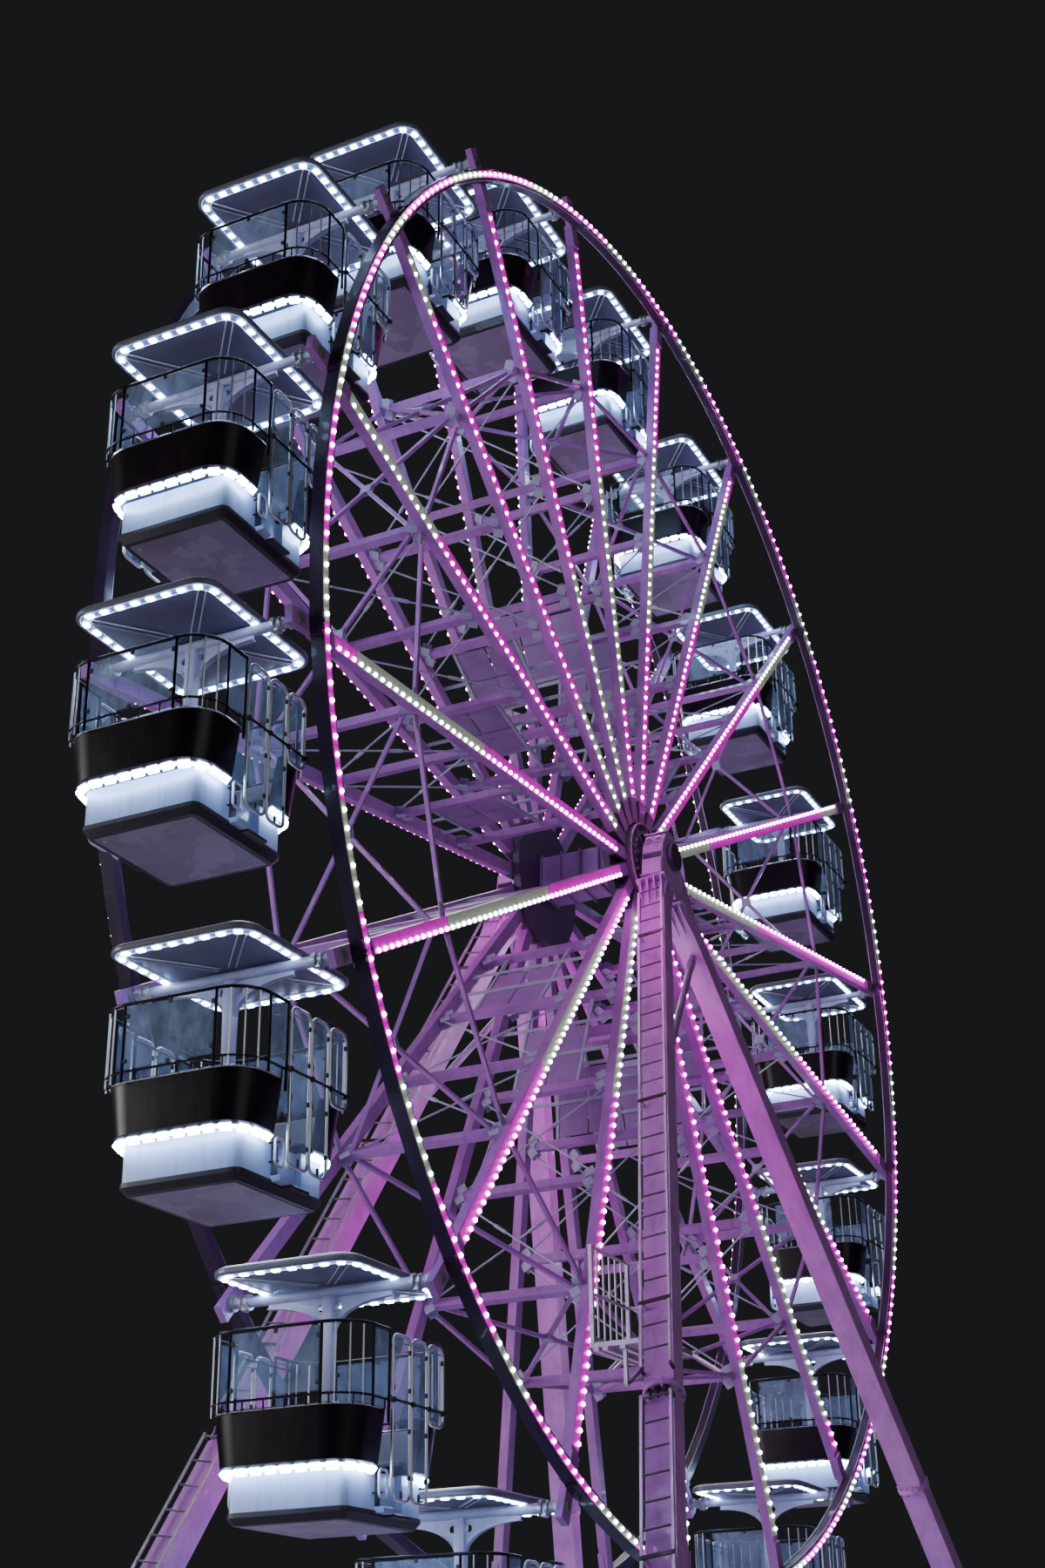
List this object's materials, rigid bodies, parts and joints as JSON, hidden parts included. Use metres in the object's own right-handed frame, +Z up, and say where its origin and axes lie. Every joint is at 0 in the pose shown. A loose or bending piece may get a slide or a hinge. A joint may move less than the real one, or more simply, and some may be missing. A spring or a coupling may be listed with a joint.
{
  "type": "transportable ferris wheel",
  "caption": "Ferris wheel on splayed legs, with lamp-lit rims and spokes and open cabins that stay level as it turns",
  "frame": {"origin": "on the ground straight under the hub, at the middle of the base", "axes": "+Z up, +Y along the axle towards the rear, +X to the right as seen from the front"},
  "size_m": [22.5124, 8.3, 23.8298],
  "materials": {
    "white_steel": "satin off-white paint on welded box section",
    "dark_rim": "dark satin paint on a rolled box section",
    "hub_steel": "grey paint on machined steel",
    "zinc_steel": "dull galvanised bars",
    "cabin_shell": "gloss moulded panels",
    "bowl_gloss": "brown-black gloss moulding",
    "clear_panel": "scuffed clear sheet",
    "rail_tube": "polished tube",
    "lamp_magenta": "lit lamp caps",
    "lamp_pale": "lit lamp caps",
    "lamp_cool": "lit lamp lenses"
  },
  "bodies": {
    "base": {"base_beam_front": "white_steel", "base_beam_rear": "white_steel", "base_beam_left": "white_steel", "base_beam_right": "white_steel", "leg_front_left": "white_steel", "leg_front_right": "white_steel", "leg_rear_left": "white_steel", "leg_rear_right": "white_steel", "ladder_front": "zinc_steel", "ladder_rear": "zinc_steel", "service_platform": "zinc_steel", "bearing_front": "hub_steel", "bearing_rear": "hub_steel"},
    "wheel": {"rim_front": "dark_rim", "rim_rear": "dark_rim", "hub_front": "hub_steel", "hub_rear": "hub_steel", "axle_beam": "white_steel", "spoke_frame_01": "white_steel", "spoke_frame_02": "white_steel", "spoke_frame_03": "white_steel", "spoke_frame_04": "white_steel", "spoke_frame_05": "white_steel", "spoke_frame_06": "white_steel", "spoke_frame_07": "white_steel", "spoke_frame_08": "white_steel", "spoke_frame_09": "white_steel", "spoke_frame_10": "white_steel", "spoke_frame_11": "white_steel", "spoke_frame_12": "white_steel", "spoke_frame_13": "white_steel", "spoke_frame_14": "white_steel", "spoke_frame_15": "white_steel", "spoke_frame_16": "white_steel", "spoke_frame_17": "white_steel", "spoke_frame_18": "white_steel"},
    "cabin_body_01": {"cabin_01": "cabin_shell"},
    "cabin_body_02": {"cabin_02": "cabin_shell"},
    "cabin_body_03": {"cabin_03": "cabin_shell"},
    "cabin_body_04": {"cabin_04": "cabin_shell"},
    "cabin_body_05": {"cabin_05": "cabin_shell"},
    "cabin_body_06": {"cabin_06": "cabin_shell"},
    "cabin_body_07": {"cabin_07": "cabin_shell"},
    "cabin_body_08": {"cabin_08": "cabin_shell"},
    "cabin_body_09": {"cabin_09": "cabin_shell"},
    "cabin_body_10": {"cabin_10": "cabin_shell"},
    "cabin_body_11": {"cabin_11": "cabin_shell"},
    "cabin_body_12": {"cabin_12": "cabin_shell"},
    "cabin_body_13": {"cabin_13": "cabin_shell"},
    "cabin_body_14": {"cabin_14": "cabin_shell"},
    "cabin_body_15": {"cabin_15": "cabin_shell"},
    "cabin_body_16": {"cabin_16": "cabin_shell"},
    "cabin_body_17": {"cabin_17": "cabin_shell"},
    "cabin_body_18": {"cabin_18": "cabin_shell"}
  },
  "joints": [
    {"name": "wheel_spin", "type": "hinge", "parent": "base", "child": "wheel", "pos_m": [0, 0, 13.4], "axis": [0, 1, 0], "continuous": true},
    {"name": "cabin_01_level", "type": "hinge", "parent": "wheel", "child": "cabin_body_01", "pos_m": [0.64297, 0, 23.61979], "axis": [0, 1, 0], "continuous": true},
    {"name": "cabin_02_level", "type": "hinge", "parent": "wheel", "child": "cabin_body_02", "pos_m": [4.09957, 0, 22.78355], "axis": [0, 1, 0], "continuous": true},
    {"name": "cabin_03_level", "type": "hinge", "parent": "wheel", "child": "cabin_body_03", "pos_m": [7.0617, 0, 20.81552], "axis": [0, 1, 0], "continuous": true},
    {"name": "cabin_04_level", "type": "hinge", "parent": "wheel", "child": "cabin_body_04", "pos_m": [9.17209, 0, 17.95306], "axis": [0, 1, 0], "continuous": true},
    {"name": "cabin_05_level", "type": "hinge", "parent": "wheel", "child": "cabin_body_05", "pos_m": [10.17618, 0, 14.54144], "axis": [0, 1, 0], "continuous": true},
    {"name": "cabin_06_level", "type": "hinge", "parent": "wheel", "child": "cabin_body_06", "pos_m": [9.95288, 0, 10.99214], "axis": [0, 1, 0], "continuous": true},
    {"name": "cabin_07_level", "type": "hinge", "parent": "wheel", "child": "cabin_body_07", "pos_m": [8.52911, 0, 7.73327], "axis": [0, 1, 0], "continuous": true},
    {"name": "cabin_08_level", "type": "hinge", "parent": "wheel", "child": "cabin_body_08", "pos_m": [6.07661, 0, 5.15789], "axis": [0, 1, 0], "continuous": true},
    {"name": "cabin_09_level", "type": "hinge", "parent": "wheel", "child": "cabin_body_09", "pos_m": [2.89118, 0, 3.57662], "axis": [0, 1, 0], "continuous": true},
    {"name": "cabin_10_level", "type": "hinge", "parent": "wheel", "child": "cabin_body_10", "pos_m": [-0.64297, 0, 3.18021], "axis": [0, 1, 0], "continuous": true},
    {"name": "cabin_11_level", "type": "hinge", "parent": "wheel", "child": "cabin_body_11", "pos_m": [-4.09957, 0, 4.01645], "axis": [0, 1, 0], "continuous": true},
    {"name": "cabin_12_level", "type": "hinge", "parent": "wheel", "child": "cabin_body_12", "pos_m": [-7.0617, 0, 5.98448], "axis": [0, 1, 0], "continuous": true},
    {"name": "cabin_13_level", "type": "hinge", "parent": "wheel", "child": "cabin_body_13", "pos_m": [-9.17209, 0, 8.84694], "axis": [0, 1, 0], "continuous": true},
    {"name": "cabin_14_level", "type": "hinge", "parent": "wheel", "child": "cabin_body_14", "pos_m": [-10.17618, 0, 12.25856], "axis": [0, 1, 0], "continuous": true},
    {"name": "cabin_15_level", "type": "hinge", "parent": "wheel", "child": "cabin_body_15", "pos_m": [-9.95288, 0, 15.80786], "axis": [0, 1, 0], "continuous": true},
    {"name": "cabin_16_level", "type": "hinge", "parent": "wheel", "child": "cabin_body_16", "pos_m": [-8.52911, 0, 19.06673], "axis": [0, 1, 0], "continuous": true},
    {"name": "cabin_17_level", "type": "hinge", "parent": "wheel", "child": "cabin_body_17", "pos_m": [-6.07661, 0, 21.64211], "axis": [0, 1, 0], "continuous": true},
    {"name": "cabin_18_level", "type": "hinge", "parent": "wheel", "child": "cabin_body_18", "pos_m": [-2.89118, 0, 23.22338], "axis": [0, 1, 0], "continuous": true}
  ],
  "couplings": [
    {"joint": "cabin_01_level", "follows": "wheel_spin", "ratio": -1},
    {"joint": "cabin_02_level", "follows": "wheel_spin", "ratio": -1},
    {"joint": "cabin_03_level", "follows": "wheel_spin", "ratio": -1},
    {"joint": "cabin_04_level", "follows": "wheel_spin", "ratio": -1},
    {"joint": "cabin_05_level", "follows": "wheel_spin", "ratio": -1},
    {"joint": "cabin_06_level", "follows": "wheel_spin", "ratio": -1},
    {"joint": "cabin_07_level", "follows": "wheel_spin", "ratio": -1},
    {"joint": "cabin_08_level", "follows": "wheel_spin", "ratio": -1},
    {"joint": "cabin_09_level", "follows": "wheel_spin", "ratio": -1},
    {"joint": "cabin_10_level", "follows": "wheel_spin", "ratio": -1},
    {"joint": "cabin_11_level", "follows": "wheel_spin", "ratio": -1},
    {"joint": "cabin_12_level", "follows": "wheel_spin", "ratio": -1},
    {"joint": "cabin_13_level", "follows": "wheel_spin", "ratio": -1},
    {"joint": "cabin_14_level", "follows": "wheel_spin", "ratio": -1},
    {"joint": "cabin_15_level", "follows": "wheel_spin", "ratio": -1},
    {"joint": "cabin_16_level", "follows": "wheel_spin", "ratio": -1},
    {"joint": "cabin_17_level", "follows": "wheel_spin", "ratio": -1},
    {"joint": "cabin_18_level", "follows": "wheel_spin", "ratio": -1}
  ]
}
